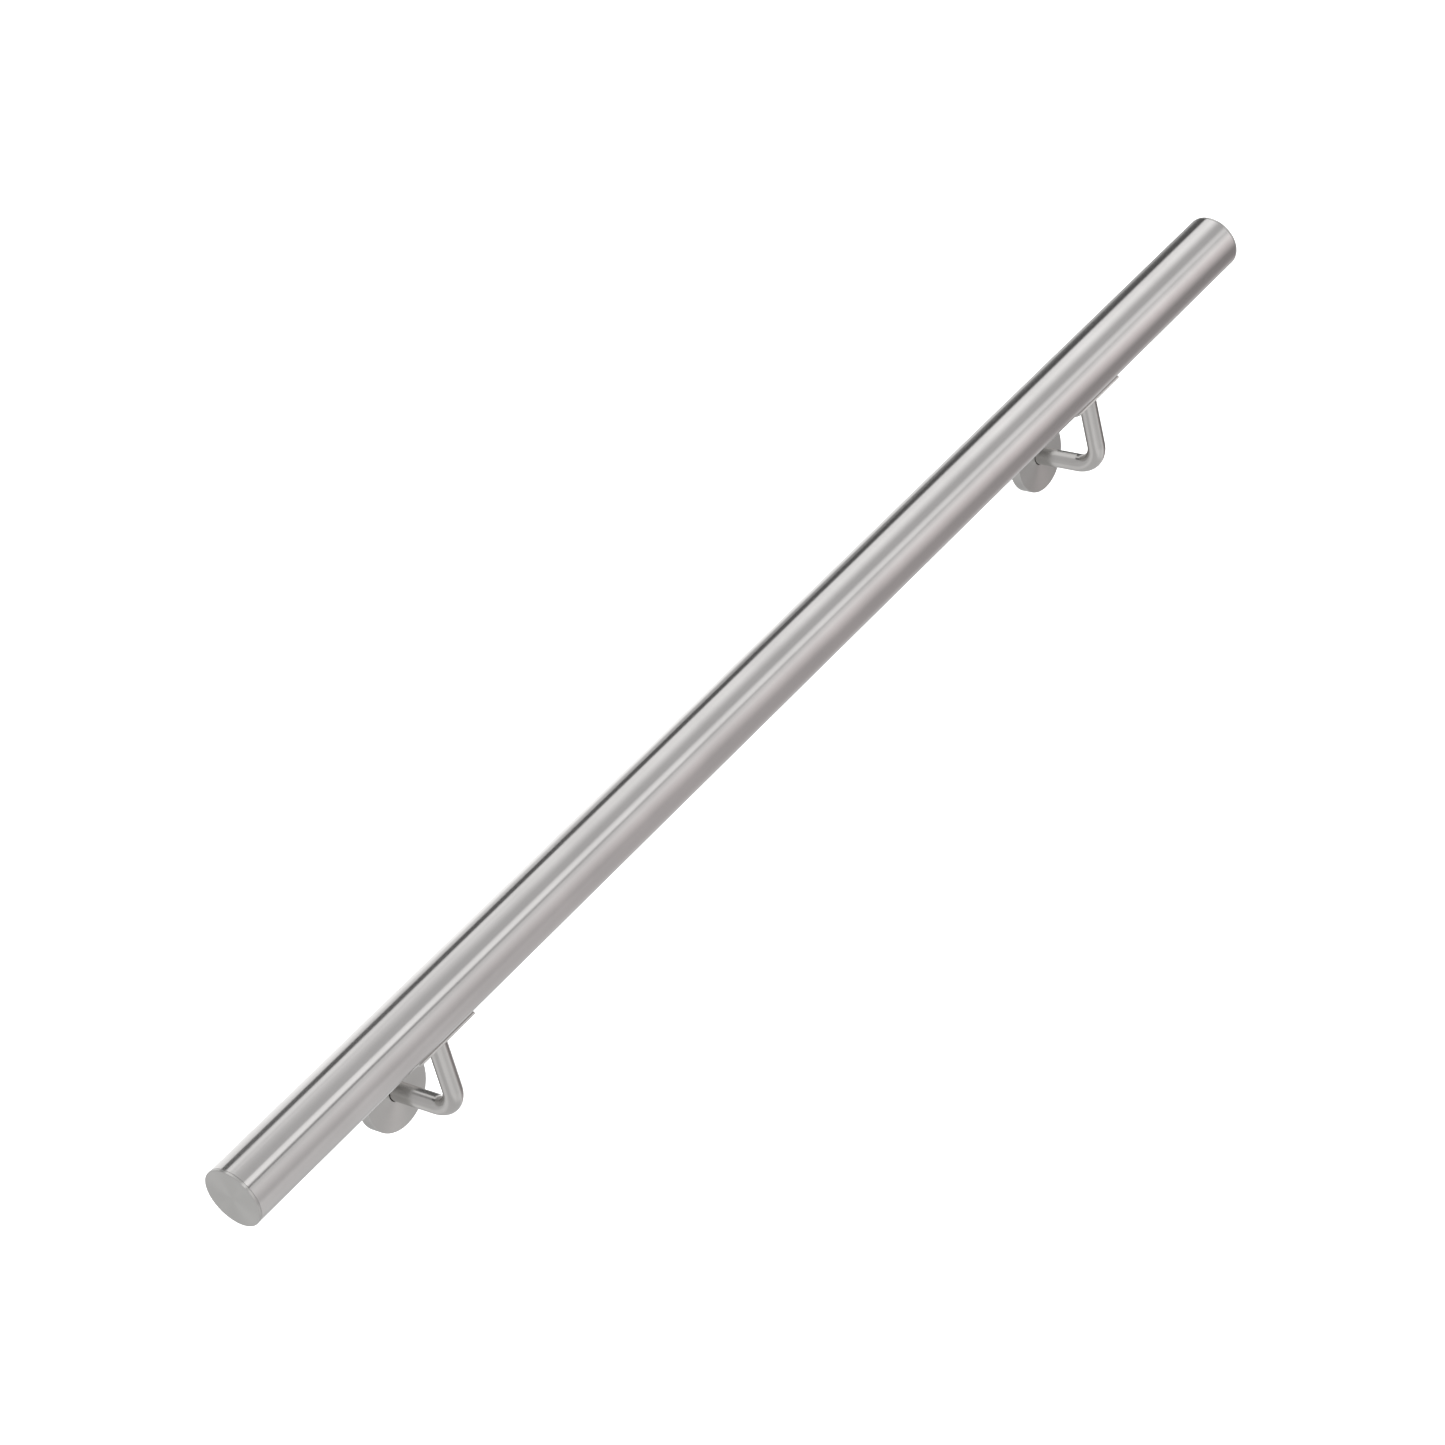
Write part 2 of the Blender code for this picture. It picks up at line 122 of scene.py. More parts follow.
PLATE_HOLE_CIRCLE = (PLATE_BORE + GROOVE_RADIUS) / 2
RAIL_BORE = RAIL_RADIUS - RAIL_WALL

# How finely round pieces are drawn.
RAIL_STEPS = 192
TURNED_STEPS = 128
BAR_STEPS = 64
SMALL_STEPS = 48
RUBBER_STEPS = 24
BEND_STEPS = 24
EDGE_STEPS = 5
RIM_STEPS = 3
SADDLE_STEPS = 40
MERGE = 0.000001
SHARP = radians(28)
CORNER = radians(60)
FLAT_FACE_WEIGHT = 80

RAIL_MIDDLE = Vector((0, RAIL_Y, RAIL_Z))
OFF_THE_WALL = Matrix.Rotation(pi / 2, 4, "X")


# Shapes


def arc(centre_r, centre_h, radius, start, end, steps=EDGE_STEPS):
    """A profile's rounded edge, as (distance from the axis, height) pairs."""
    turns = [start + (end - start) * i / steps for i in range(steps + 1)]
    return [(centre_r + radius * cos(a), centre_h + radius * sin(a)) for a in turns]


def turned(profile, place, steps, closed=True):
    """A piece turned on a lathe from a profile that runs down its outer side."""
    shape = bmesh.new()
    points = [shape.verts.new((distance, 0, height)) for distance, height in profile]
    lines = [shape.edges.new(ends) for ends in zip(points, points[1:])]
    if closed:
        lines.append(shape.edges.new((points[-1], points[0])))
    bmesh.ops.spin(
        shape,
        geom=[*points, *lines],
        cent=(0, 0, 0),
        axis=(0, 0, 1),
        angle=tau,
        steps=steps,
        use_merge=True,
    )
    bmesh.ops.remove_doubles(shape, verts=shape.verts, dist=MERGE)
    bmesh.ops.recalc_face_normals(shape, faces=shape.faces)
    bmesh.ops.transform(shape, matrix=place, verts=shape.verts)
    return shape


def drill(radius, low, high, place, sink_radius=0.0, sink_depth=0.0):
    """A tool that bores a round hole, with a cone at its high end for a countersink."""
    profile = [(0, high), (max(radius, sink_radius), high)]
    if sink_radius:
        profile.append((radius, high - sink_depth))
    profile += [(radius, low), (0, low)]
    return turned(profile, place, SMALL_STEPS, closed=False)


def as_object(name, shape):
    """Puts a shape into the scene under that name."""
    mesh = bpy.data.meshes.new(name)
    shape.to_mesh(mesh)
    shape.free()
    obj = bpy.data.objects.new(name, mesh)
    bpy.context.scene.collection.objects.link(obj)
    return obj


def cut(piece, tools):
    """Takes each tool's shape out of the piece."""
    for tool in tools:
        cutter = as_object("tool", tool)
        boolean = piece.modifiers.new("cut", "BOOLEAN")
        boolean.object = cutter
        boolean.solver = "EXACT"
        bpy.context.view_layer.update()
        graph = bpy.context.evaluated_depsgraph_get()
        mesh = bpy.data.meshes.new_from_object(piece.evaluated_get(graph))
        piece.modifiers.clear()
        piece.data = mesh
        bpy.data.objects.remove(cutter)


def add_piece(name, shape, material, body, node, tools=()):
    """A finished piece: cut, shaded, riding on its body and standing in for its CAD node."""
    piece = as_object(name, shape)
    cut(piece, tools)
    piece.data.materials.clear()
    piece.data.materials.append(material)
    piece.data.shade_smooth()
    piece.data.set_sharp_from_angle(angle=SHARP)
    flats = piece.modifiers.new("flat faces stay flat", "WEIGHTED_NORMAL")
    flats.keep_sharp = True
    flats.weight = FLAT_FACE_WEIGHT
    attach(piece, body)
    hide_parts(node)
    return piece


def store(piece, name, value_at):
    """Keeps a vector at each of the piece's points for its material to read."""
    layer = piece.data.attributes.new(name, "FLOAT_VECTOR", "POINT")
    for point, entry in zip(piece.data.vertices, layer.data):
        entry.vector = value_at(point.co)


def marks_round(axis, centre):
    """The way tool marks run on a piece turned about that axis."""
    return lambda place: Vector(axis).cross(place - Vector(centre)).normalized()


def make_rail():
    """A tube with a lightly broken rim, drilled underneath for the rivet nuts."""
    profile = [(RAIL_BORE, RAIL_HALF)]
    profile += arc(RAIL_RADIUS - RAIL_RIM, RAIL_HALF - RAIL_RIM, RAIL_RIM, pi / 2, 0)
    profile += arc(RAIL_RADIUS - RAIL_RIM, RAIL_RIM - RAIL_HALF, RAIL_RIM, 0, -pi / 2)
    profile.append((RAIL_BORE, -RAIL_HALF))
    place = Matrix.Translation(RAIL_MIDDLE) @ Matrix.Rotation(pi / 2, 4, "Y")
    tools = [
        drill(
            NUT_BODY_RADIUS + GAP,
            -2 * RAIL_RADIUS,
            -RAIL_RADIUS / 2,
            Matrix.Translation(RAIL_MIDDLE + Vector((side * BRACKET_X + end * SCREW_OFFSET, 0, 0))),
        )
        for side in (-1, 1)
        for end in (-1, 1)
    ]
    rail = add_piece(
        "polished_rail",
        turned(profile, place, RAIL_STEPS),
        rail_steel,
        "rail_and_brackets",
        "rail_tube",
        tools,
    )
    store(rail, "marks", marks_round((1, 0, 0), RAIL_MIDDLE))


def make_cap(side, sign):
    """A thin flange with a hollow spigot, grooved for its nylon ring."""
    spigot = RAIL_BORE - CAP_SPIGOT_SLACK
    groove = RAIL_BORE - 2 * GAP - CAP_RING_THICKNESS
    groove_top = GAP - CAP_RING_SETBACK
    groove_low = -CAP_RING_SETBACK - CAP_RING_WIDTH - GAP
    hollow = spigot - CAP_SPIGOT_WALL
    profile = [(0, CAP_FLANGE)]
    profile += arc(RAIL_RADIUS - CAP_EDGE, CAP_FLANGE - CAP_EDGE, CAP_EDGE, pi / 2, 0)
    profile += [
        (RAIL_RADIUS, CAP_BACK_CHAMFER - CAP_SEAT),
        (RAIL_RADIUS - CAP_BACK_CHAMFER, -CAP_SEAT),
        (spigot, -CAP_SEAT),
        (spigot, groove_top),
        (groove, groove_top),
        (groove, groove_low),
        (spigot, groove_low),
        (spigot, CAP_SPIGOT_CHAMFER - CAP_SPIGOT_LENGTH),
        (spigot - CAP_SPIGOT_CHAMFER, -CAP_SPIGOT_LENGTH),
        (hollow, -CAP_SPIGOT_LENGTH),
        (hollow, 0),
        (0, 0),
    ]
    at_end = RAIL_MIDDLE + Vector((sign * (RAIL_HALF + GAP), 0, 0))
    place = Matrix.Translation(at_end) @ Matrix.Rotation(sign * pi / 2, 4, "Y")
    cap = add_piece(
        f"{side}_turned_cap",
        turned(profile, place, TURNED_STEPS, closed=False),
        cap_steel,
        "rail_and_brackets",
        f"{side}_end_cap",
    )
    store(cap, "marks", marks_round((1, 0, 0), RAIL_MIDDLE))


def bend_centre(sign):
    """The point that an arm's bend turns round."""
    return Vector((sign * BRACKET_X, RAIL_Y + BEND_RADIUS, BEND_RADIUS))


def straightened(sign):
    """Where a point of the arm would be if the bar were straight, along local Z."""
    centre = bend_centre(sign)

    def place_of(place):
        away = place - centre
        if away.z >= 0:
            return Vector((away.x, -away.y - BEND_RADIUS, -away.z))
        if away.y >= 0:
            return Vector((away.x, -away.z - BEND_RADIUS, BEND_RADIUS * pi / 2 + away.y))
        reach = Vector((away.y, away.z))
        turn = reach.angle(Vector((-1, 0)))
        return Vector((away.x, reach.length - BEND_RADIUS, BEND_RADIUS * turn))

    return place_of


def marks_along(sign):
    """The way polishing marks run along a bent bar."""
    centre = bend_centre(sign)

    def way_of(place):
        away = Vector((0, min(place.y - centre.y, 0), min(place.z - centre.z, 0)))
        return Vector((1, 0, 0)).cross(away).normalized()

    return way_of


def drawn_on(shape, edges):
    """Draws the open end of a tube on by one ring, and gives that ring."""
    drawn = bmesh.ops.extrude_edge_only(shape, edges=edges)["geom"]
    ring = [part for part in drawn if isinstance(part, bmesh.types.BMVert)]
    edges = [part for part in drawn if isinstance(part, bmesh.types.BMEdge)]
    edges = [edge for edge in edges if all(end in ring for end in edge.verts)]
    return ring, edges


def make_arm(side, sign):
    """A round bar bent once, fused to the saddle above and set into the wall plate."""
    shape = bmesh.new()
    x = sign * BRACKET_X
    centre = bend_centre(sign)
    seat = RAIL_Z - SADDLE_OUTER_RADIUS
    root = ARM_RADIUS + ARM_ROOT
    ring = bmesh.ops.create_circle(shape, segments=BAR_STEPS, radius=root)["verts"]
    bmesh.ops.translate(shape, vec=(x, RAIL_Y, seat), verts=ring)
    edges = shape.edges[:]
    top = list(ring)

    # The bar's root widens a little where it is fused to the saddle.
    for step in range(1, EDGE_STEPS + 1):
        turn = pi / 2 * step / EDGE_STEPS
        ring, edges = drawn_on(shape, edges)
        radius = root - ARM_ROOT * sin(turn)
        for point in ring:
            out = Vector((point.co.x - x, point.co.y - RAIL_Y)).normalized() * radius
            low = ARM_ROOT * (1 - cos(turn))
            rise = SADDLE_OUTER_RADIUS - sqrt(SADDLE_OUTER_RADIUS**2 - out.y**2)
            point.co = (x + out.x, RAIL_Y + out.y, seat + rise - low)
    for point in top:
        away = point.co.y - RAIL_Y
        rise = SADDLE_OUTER_RADIUS - sqrt(SADDLE_OUTER_RADIUS**2 - away**2)
        point.co.z = seat + rise + GAP / 2

    # Straight down, round the bend, and straight into the wall plate.
    ring, edges = drawn_on(shape, edges)
    for point in ring:
        point.co.z = centre.z
    swept = bmesh.ops.spin(
        shape,
        geom=[*ring, *edges],
        cent=centre,
        axis=(1, 0, 0),
        angle=pi / 2,
        steps=BEND_STEPS,
    )["geom_last"]
    edges = [part for part in swept if isinstance(part, bmesh.types.BMEdge)]
    ring, edges = drawn_on(shape, edges)
    for point in ring:
        point.co.y = ARM_END
    bmesh.ops.holes_fill(shape, edges=shape.edges, sides=0)
    bmesh.ops.recalc_face_normals(shape, faces=shape.faces)
    arm = add_piece(
        f"{side}_arm_bar",
        shape,
        arm_steel,
        "rail_and_brackets",
        f"{side}_arm",
    )
    store(arm, "marks", marks_along(sign))
    store(arm, "straightened", straightened(sign))


def make_saddle(side, sign):
    """A flat plate with rounded corners, bent round the underside of the rail."""
    shape = bmesh.new()
    inner = SADDLE_OUTER_RADIUS - SADDLE_THICKNESS
    reach = SADDLE_ANGLE * SADDLE_OUTER_RADIUS
    bmesh.ops.create_grid(shape, x_segments=1, y_segments=1, size=1)
    bmesh.ops.scale(shape, vec=(SADDLE_HALF, reach, 1), verts=shape.verts)
    bmesh.ops.bevel(
        shape,
        geom=shape.verts[:],
        offset=SADDLE_CORNER,
        segments=EDGE_STEPS,
        profile=0.5,
        affect="VERTICES",
        material=-1,
    )
    top = bmesh.ops.extrude_face_region(shape, geom=shape.faces[:])["geom"]
    top = [part for part in top if isinstance(part, bmesh.types.BMVert)]
    bmesh.ops.translate(shape, vec=(0, 0, SADDLE_THICKNESS), verts=top)
    bmesh.ops.recalc_face_normals(shape, faces=shape.faces)
    # The edges that meet the rail are rounded more than the ones outside.
    for height, offset in ((0, SADDLE_INNER_EDGE), (SADDLE_THICKNESS, SADDLE_EDGE)):
        rims = [edge for edge in shape.edges if edge.calc_face_angle(0) > CORNER]
        bmesh.ops.bevel(
            shape,
            geom=[e for e in rims if all(abs(end.co.z - height) < MERGE for end in e.verts)],
            offset=offset,
            segments=RIM_STEPS,
            profile=0.5,
            affect="EDGES",
            material=-1,
        )
    for i in range(1, SADDLE_STEPS):
        bmesh.ops.bisect_plane(
            shape,
            geom=[*shape.verts, *shape.edges, *shape.faces],
            dist=MERGE,
            plane_co=(0, reach * (2 * i / SADDLE_STEPS - 1), 0),
            plane_no=(0, 1, 0),
        )
    for point in shape.verts:
        turn = point.co.y / SADDLE_OUTER_RADIUS
        radius = inner + point.co.z
        point.co = Vector((point.co.x, radius * sin(turn), -radius * cos(turn)))
    bmesh.ops.recalc_face_normals(shape, faces=shape.faces)
    middle = RAIL_MIDDLE + Vector((sign * BRACKET_X, 0, 0))
    bmesh.ops.translate(shape, vec=middle, verts=shape.verts)
    tools = []
    for end in (-1, 1):
        at_screw = Matrix.Translation(middle + Vector((end * SCREW_OFFSET, 0, 0)))
        recess = -RAIL_RADIUS - 2 * GAP - NUT_FLANGE_THICKNESS
        tools.append(drill(SCREW_HOLE_RADIUS, -2 * RAIL_RADIUS, 0, at_screw))
        tools.append(drill(NUT_FLANGE_RADIUS + GAP, recess, 0, at_screw))
    saddle = add_piece(
        f"{side}_saddle_plate",
        shape,
        saddle_steel,
        "rail_and_brackets",
        f"{side}_saddle",
        tools,
    )
    store(saddle, "marks", lambda place: Vector((1, 0, 0)))


def make_rose(side, sign):
    """A shallow turned cup with a hole for the arm."""
    profile = [(ROSE_BORE, ROSE_DEPTH - ROSE_CHAMFER), (ROSE_BORE + ROSE_CHAMFER, ROSE_DEPTH)]
    profile += arc(ROSE_RADIUS - ROSE_EDGE, ROSE_DEPTH - ROSE_EDGE, ROSE_EDGE, pi / 2, 0)
    profile += [
        (ROSE_RADIUS, GAP + ROSE_CHAMFER),
        (ROSE_RADIUS - ROSE_CHAMFER, GAP),
        (ROSE_RADIUS - ROSE_WALL, GAP),
        (ROSE_RADIUS - ROSE_WALL, ROSE_DEPTH - ROSE_WALL),
        (ROSE_BORE, ROSE_DEPTH - ROSE_WALL),
    ]
    place = Matrix.Translation((sign * BRACKET_X, 0, 0)) @ OFF_THE_WALL
    rose = add_piece(
        f"{side}_rose_cup",
        turned(profile, place, TURNED_STEPS),
        rose_steel,
        f"{side}_rose",
        f"{side}_cover_rose",
    )
    store(rose, "marks", marks_round((0, 1, 0), (sign * BRACKET_X, 0, 0)))


def make_wall_plate(side, sign):
    """A disc grooved for the rubber ring, with three countersunk screw holes."""
    middle = PLATE_THICKNESS / 2
    profile = [
        (PLATE_BORE, PLATE_THICKNESS),
        (PLATE_RADIUS - PLATE_EDGE, PLATE_THICKNESS),
        (PLATE_RADIUS, PLATE_THICKNESS - PLATE_EDGE),
        (PLATE_RADIUS, middle + GROOVE_HALF),
        (GROOVE_RADIUS, middle + GROOVE_HALF),
        (GROOVE_RADIUS, middle - GROOVE_HALF),
        (PLATE_RADIUS, middle - GROOVE_HALF),
        (PLATE_RADIUS, 0),
        (PLATE_BORE, 0),
    ]
    place = Matrix.Translation((sign * BRACKET_X, 0, 0)) @ OFF_THE_WALL
    tools = []
    for i in range(3):
        turn = pi / 2 + tau * i / 3
        offset = PLATE_HOLE_CIRCLE * Vector((cos(turn), sin(turn), 0))
        at_hole = place @ Matrix.Translation(offset)
        slope = (PLATE_SINK_RADIUS - PLATE_HOLE_RADIUS) / PLATE_SINK_DEPTH
        tools.append(
            drill(
                PLATE_HOLE_RADIUS,
                -PLATE_THICKNESS,
                PLATE_THICKNESS + PLATE_SINK_DEPTH,
                at_hole,
                PLATE_SINK_RADIUS + slope * PLATE_SINK_DEPTH,
                2 * PLATE_SINK_DEPTH,
            )
        )
    plate = add_piece(
        f"{side}_wall_disc",
        turned(profile, place, TURNED_STEPS),
        plate_steel,
        "rail_and_brackets",
        f"{side}_wall_plate",
        tools,
    )
    store(plate, "marks", marks_round((0, 1, 0), (sign * BRACKET_X, 0, 0)))


def make_rubber_ring(side, sign):
    profile = arc(RUBBER_MAJOR, PLATE_THICKNESS / 2, RUBBER_RADIUS, pi, -pi, RUBBER_STEPS)[:-1]
    place = Matrix.Translation((sign * BRACKET_X, 0, 0)) @ OFF_THE_WALL
    add_piece(
        f"{side}_grip_ring",
        turned(profile, place, TURNED_STEPS),
        rubber,
        "rail_and_brackets",
        f"{side}_rubber_ring",
    )


def make_screw(side, end, x):
    """A button-head screw with its thread's ridges and a hex socket."""
    seat = RAIL_RADIUS - SADDLE_OUTER_RADIUS - GAP
    face = seat - SCREW_HEAD_HEIGHT
    tip = seat + SCREW_LENGTH
    profile = [(0, tip), (SCREW_RADIUS - THREAD_DEPTH, tip)]
    height = tip - THREAD_PITCH / 2
    while height > seat + THREAD_PITCH:
        profile.append((SCREW_RADIUS, height))
        profile.append((SCREW_RADIUS - THREAD_DEPTH, height - THREAD_PITCH / 2))
        height -= THREAD_PITCH
    profile += [(SCREW_RADIUS, seat + GAP), (SCREW_RADIUS, seat), (SCREW_HEAD_RADIUS, seat)]
    dome = SCREW_HEAD_DOME
    profile += arc(SCREW_HEAD_RADIUS - dome, face + dome, dome, 0, -pi / 2, 2 * EDGE_STEPS)
    profile.append((0, face))
    place = Matrix.Translation((x, RAIL_Y, RAIL_Z - RAIL_RADIUS))
    socket = bmesh.new()
    bmesh.ops.create_cone(
        socket,
        cap_ends=True,
        segments=6,
        radius1=SCREW_SOCKET_RADIUS,
        radius2=SCREW_SOCKET_RADIUS,
        depth=2 * SCREW_SOCKET_DEPTH,
        matrix=place @ Matrix.Translation((0, 0, face)),
    )
    add_piece(
        f"{side}_{end}_button_screw",
        turned(profile, place, SMALL_STEPS, closed=False),
        fastener_steel,
        "rail_and_brackets",
        f"{side}_{end}_screw",
        [socket],
    )


# Materials

# How wide and how long the turned lines and the polishing streaks are.
LINE_WIDTH = 0.00025
LINE_LENGTH = 0.02
BAR_STREAK_WIDTH = 0.0004
PLATE_STREAK_WIDTH = 0.0003
PLATE_STREAK_LENGTH = 0.012
# The size of the patches that handling and plating leave.
HANDLED_PATCH = 0.045
MOTTLE = 0.006
# How much a mark changes the roughness.
MARKS_ROUGHNESS = 0.03


def colour(code):
    """A colour from its sRGB hex code, as linear light."""
    parts = [int(code[i : i + 2], 16) / 255 for i in (1, 3, 5)]
    linear = [p / 12.92 if p <= 0.04045 else ((p + 0.055) / 1.055) ** 2.4 for p in parts]
    return (*linear, 1.0)


def add(tree, kind, settings, inputs):
    """Adds a node. Each input takes a value, or another node's output as a link."""
    node = tree.nodes.new(f"ShaderNode{kind}")
    for name, value in settings.items():
        setattr(node, name, value)
    for name, value in inputs.items():
        if isinstance(value, bpy.types.NodeSocket):
            tree.links.new(value, node.inputs[name])
        else:
            node.inputs[name].default_value = value
    return node.outputs


def maths(tree, operation, first, second=0.0, third=0.0):
    inputs = {0: first, 1: second, 2: third}
    return add(tree, "Math", {"operation": operation}, inputs)[0]


def vector_maths(tree, operation, first, second=(0, 0, 0)):
    inputs = {0: first, 1: second}
    return add(tree, "VectorMath", {"operation": operation}, inputs)


def noise(tree, vector, scale, detail=2.0, rough=0.5):
    inputs = {"Vector": vector, "Scale": scale, "Detail": detail, "Roughness": rough}
    return add(tree, "TexNoise", {}, inputs)["Fac"]


def spread_to(tree, value, low, high):
    """A noise value, which stays near its middle, spread out between low and high."""
    inputs = {"Value": value, "From Min": 0.3, "From Max": 0.7, "To Min": low, "To Max": high}
    return add(tree, "MapRange", {}, inputs)["Result"]


def place_on(tree):
    return add(tree, "TexCoord", {}, {})["Object"]


def round_rail(tree):
    """Lines that run round the rail's axis."""
    centred = vector_maths(tree, "SUBTRACT", place_on(tree), RAIL_MIDDLE)["Vector"]
    split = add(tree, "SeparateXYZ", {}, {0: centred})
    across = add(tree, "CombineXYZ", {}, {1: split[1], 2: split[2]})[0]
    distance = vector_maths(tree, "LENGTH", across)["Value"]
    return lines_from(tree, split[0], distance, split[1], split[2])


def round_brackets(tree):
    """Lines that run round each bracket's own axis into the wall."""
    mirrored = vector_maths(tree, "ABSOLUTE", place_on(tree))["Vector"]
    centred = vector_maths(tree, "SUBTRACT", mirrored, (BRACKET_X, 0, 0))["Vector"]
    split = add(tree, "SeparateXYZ", {}, {0: centred})
    across = add(tree, "CombineXYZ", {}, {0: split[0], 2: split[2]})[0]
    distance = vector_maths(tree, "LENGTH", across)["Value"]
    return lines_from(tree, split[1], distance, split[0], split[2])


def lines_from(tree, along, distance, side, up):
    """Where a turned piece's fine lines are looked up: close together along the axis and
    outwards, and drawn out a long way round it."""
    fine = 1 / LINE_WIDTH
    slow = 1 / LINE_LENGTH
    first = maths(tree, "MULTIPLY", along, fine)
    second = maths(tree, "MULTIPLY", distance, fine)
    third = maths(tree, "MULTIPLY", side, slow)
    second = maths(tree, "MULTIPLY_ADD", up, slow, second)
    return add(tree, "CombineXYZ", {}, {0: first, 1: second, 2: third})[0]


def along_bar(tree):
    """Streaks that run along the bent bar."""
    straight = add(tree, "Attribute", {"attribute_name": "straightened"}, {})["Vector"]
    streaks = (1 / BAR_STREAK_WIDTH, 1 / BAR_STREAK_WIDTH, 1 / LINE_LENGTH)
    return vector_maths(tree, "MULTIPLY", straight, streaks)["Vector"]


def along_rail(tree):
    """Streaks that run the way the rail does."""
    streaks = (1 / PLATE_STREAK_LENGTH, 1 / PLATE_STREAK_WIDTH, 1 / PLATE_STREAK_WIDTH)
    return vector_maths(tree, "MULTIPLY", place_on(tree), streaks)["Vector"]


def steel(name, light, dark, gloss, pull, lines, height):
    """Stainless steel with its tool or polishing marks. gloss is the lowest and highest
    roughness, pull how far the marks draw reflections out across them, lines where the
    marks run, and height how deep they are."""
    material = bpy.data.materials.new(name)
    material.use_nodes = True
    tree = material.node_tree
    shader = tree.nodes["Principled BSDF"]
    marks = noise(tree, lines(tree), 1.0, 3.0, 0.6)
    handling = noise(tree, place_on(tree), 1 / HANDLED_PATCH, 3.0, 0.55)
    blend = spread_to(tree, handling, 0.0, 1.0)
    mixed = add(tree, "Mix", {"data_type": "RGBA"}, {0: blend, 6: colour(light), 7: colour(dark)})
    tree.links.new(mixed[2], shader.inputs["Base Color"])
    shader.inputs["Metallic"].default_value = 1.0
    level = spread_to(tree, handling, gloss[0], gloss[1])
    scuffed = maths(tree, "MULTIPLY_ADD", spread_to(tree, marks, -1.0, 1.0), MARKS_ROUGHNESS, level)
    tree.links.new(scuffed, shader.inputs["Roughness"])
    shader.inputs["Anisotropic"].default_value = pull
    way = add(tree, "Attribute", {"attribute_name": "marks"}, {})["Vector"]
    facing = add(tree, "NewGeometry", {}, {})["Normal"]
    across = vector_maths(tree, "CROSS_PRODUCT", facing, way)["Vector"]
    tree.links.new(across, shader.inputs["Tangent"])
    bump = add(tree, "Bump", {}, {"Height": marks, "Strength": 1.0, "Distance": height})
    tree.links.new(bump[0], shader.inputs["Normal"])
    return material


def plain(name, light, dark, gloss, metallic, grain, height):
    """A cast, plated or moulded surface with an even fine grain."""
    material = bpy.data.materials.new(name)
    material.use_nodes = True
    tree = material.node_tree
    shader = tree.nodes["Principled BSDF"]
    pores = noise(tree, place_on(tree), 1 / grain, 3.0, 0.6)
    blend = spread_to(tree, noise(tree, place_on(tree), 1 / MOTTLE), 0.0, 1.0)
    mixed = add(tree, "Mix", {"data_type": "RGBA"}, {0: blend, 6: colour(light), 7: colour(dark)})
    tree.links.new(mixed[2], shader.inputs["Base Color"])
    shader.inputs["Metallic"].default_value = metallic
    tree.links.new(spread_to(tree, pores, gloss[0], gloss[1]), shader.inputs["Roughness"])
    bump = add(tree, "Bump", {}, {"Height": pores, "Strength": 1.0, "Distance": height})
    tree.links.new(bump[0], shader.inputs["Normal"])
    return material


# Satin polished stainless tube: its marks run round it, so that lights stay crisp across
# the tube and melt together along it.
rail_steel = steel("rail_steel", "#CBC9C8", "#C6C4C3", (0.16, 0.20), 0.85, round_rail, 0.000002)
# Turned stainless: rings from the lathe, which fan a light out from the middle.
cap_steel = steel("cap_steel", "#C9C8C6", "#C4C3C1", (0.32, 0.37), 0.85, round_rail, 0.000001)
rose_steel = steel("rose_steel", "#C9C8C6", "#C4C3C1", (0.33, 0.38), 0.90, round_brackets, 0.000001)
# Drawn bar, polished along its length after bending.
arm_steel = steel("arm_steel", "#CBC9C7", "#C5C3C1", (0.20, 0.25), 0.30, along_bar, 0.0000015)
# Pressed plate, linished the way the rail runs.
saddle_steel = steel("saddle_steel", "#CBC9C7", "#C4C2C0", (0.20, 0.26), 0.50, along_rail, 0.0000015)
# Machined plate that nobody polishes, as the rose hides it.
plate_steel = steel("plate_steel", "#B4B1AC", "#A6A39E", (0.34, 0.42), 0.70, round_brackets, 0.000006)
# Cold-headed stainless screws: smooth and a little greyer.
fastener_steel = plain("fastener_steel", "#BDBBB8", "#AFADAA", (0.24, 0.32), 1.0, 0.0004, 0.000004)
# Zinc-plated rivet nuts: a faintly yellow, softly mottled skin.
nut_steel = plain("nut_steel", "#C2BFAF", "#B0AE9F", (0.32, 0.44), 1.0, 0.0005, 0.000004)
# Black nylon, moulded, with a dull even skin.
nylon = plain("nylon", "#26272A", "#1E1F21", (0.42, 0.52), 0.0, 0.0003, 0.000006)
# Nitrile rubber, matt and faintly dusty.
rubber = plain("rubber", "#1C1C1D", "#242426", (0.62, 0.74), 0.0, 0.0005, 0.00001)


# Pieces

make_rail()
for side_name, way in (("left", -1), ("right", 1)):
    make_cap(side_name, way)
    make_arm(side_name, way)
    make_saddle(side_name, way)
    make_rose(side_name, way)
    make_wall_plate(side_name, way)
    make_rubber_ring(side_name, way)
    for end_name, step in (("outer", way), ("inner", -way)):
        make_screw(side_name, end_name, way * BRACKET_X + step * SCREW_OFFSET)
        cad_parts[f"{side_name}_{end_name}_rivet_nut"].data.materials[0] = nut_steel
    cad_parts[f"{side_name}_cap_ring"].data.materials[0] = nylon


# Studio

FLOOR_HALF = 40
FLOOR_HEIGHT = -3
# The world's own light, and the least that any part of it gives.
ROOM_LIGHT = 0.63
LEAST_LIGHT = 0.12
# How much more red the light has low down and to the right.
EXTRA_RED = 0.07
# A direction's turn round the rail runs from this many degrees below zero.
TURN_START = 100.0


